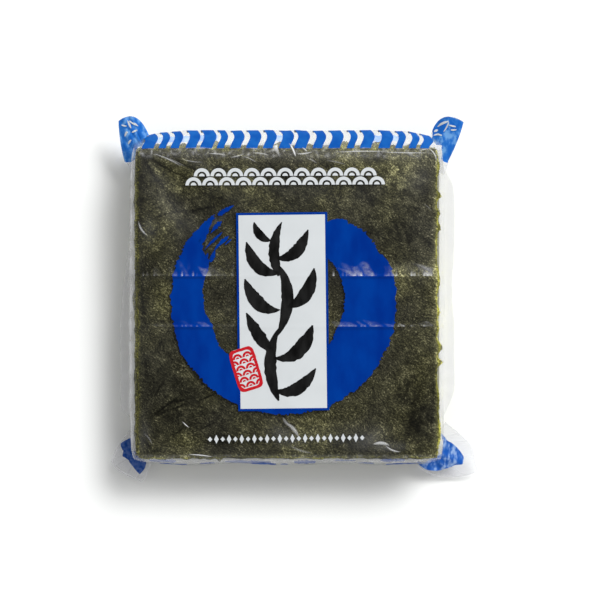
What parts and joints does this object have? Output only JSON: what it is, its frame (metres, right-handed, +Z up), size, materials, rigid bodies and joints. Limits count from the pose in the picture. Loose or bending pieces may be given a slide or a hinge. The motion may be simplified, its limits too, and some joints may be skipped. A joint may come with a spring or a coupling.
{
  "type": "pack of nori sheets",
  "caption": "Square slab-shaped clear film pack holding a stack of roasted seaweed sheets, with a printed face, a printed folded end and a film flap at each corner. It lies flat.",
  "frame": {"origin": "centre of the stack's footprint on the underside, where the pack rests", "axes": "+Z up, through the pack's thickness; +Y towards the end whose folded film shows wide beside the stack; +X across the pack, to the right when it is seen from above with +Y away"},
  "size_m": [0.2412, 0.2398, 0.0245],
  "materials": {
    "clear_film": "gloss",
    "roasted_nori": "matte",
    "white_ink": "satin",
    "blue_ink": "satin",
    "black_ink": "satin",
    "red_ink": "satin"
  },
  "bodies": {
    "root": {"nori_pack": "clear_film"}
  },
  "joints": []
}
